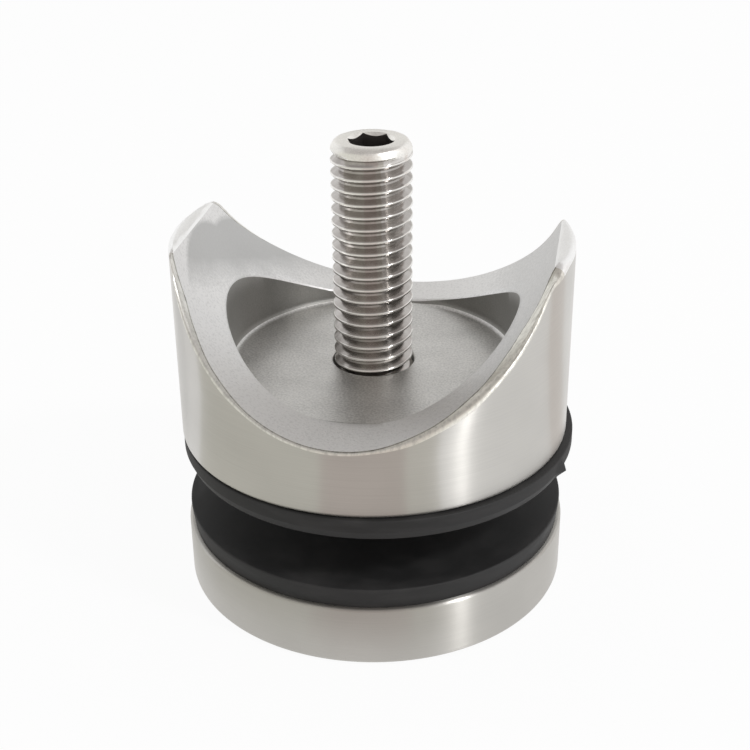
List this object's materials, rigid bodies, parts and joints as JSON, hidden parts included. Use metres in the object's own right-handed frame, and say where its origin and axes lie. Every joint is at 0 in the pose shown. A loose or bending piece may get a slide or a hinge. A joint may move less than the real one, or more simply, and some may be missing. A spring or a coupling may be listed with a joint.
{
  "type": "glass panel standoff",
  "caption": "Standoff that clamps a glass pane between rubber gaskets and seats on a round handrail tube; a threaded stud joins its cap and its saddle body.",
  "frame": {"origin": "centre of the cap's outer face", "axes": "+Z along the stud, away from the cap; +Y along the handrail tube; +X across the tube"},
  "size_m": [0.0407, 0.0406, 0.047],
  "materials": {
    "satin_steel": "satin, brushed round the axis",
    "stud_steel": "bright rolled thread",
    "black_rubber": "moulded, matte",
    "black_plastic": "matte"
  },
  "bodies": {
    "cap_side": {"front_cap": "satin_steel", "cap_gasket": "black_rubber", "glass_sleeve": "black_plastic"},
    "clamp_side": {"tube_gasket": "black_rubber"},
    "saddle": {"saddle_body": "satin_steel"},
    "stud": {"threaded_stud": "stud_steel"}
  },
  "joints": [
    {"name": "clamp_travel", "type": "slide", "parent": "cap_side", "child": "clamp_side", "axis": [0, 0, 1], "range_m": [0, 0.004]},
    {"name": "stud_turn", "type": "hinge", "parent": "clamp_side", "child": "stud", "pos_m": [0, 0, 0], "axis": [0, 0, 1], "range_deg": [0, 1152]},
    {"name": "saddle_swivel", "type": "hinge", "parent": "clamp_side", "child": "saddle", "pos_m": [0, 0, 0], "axis": [0, 0, 1], "continuous": true}
  ],
  "couplings": [
    {"joint": "stud_turn", "follows": "clamp_travel", "rad_per_m": 5026.5}
  ]
}
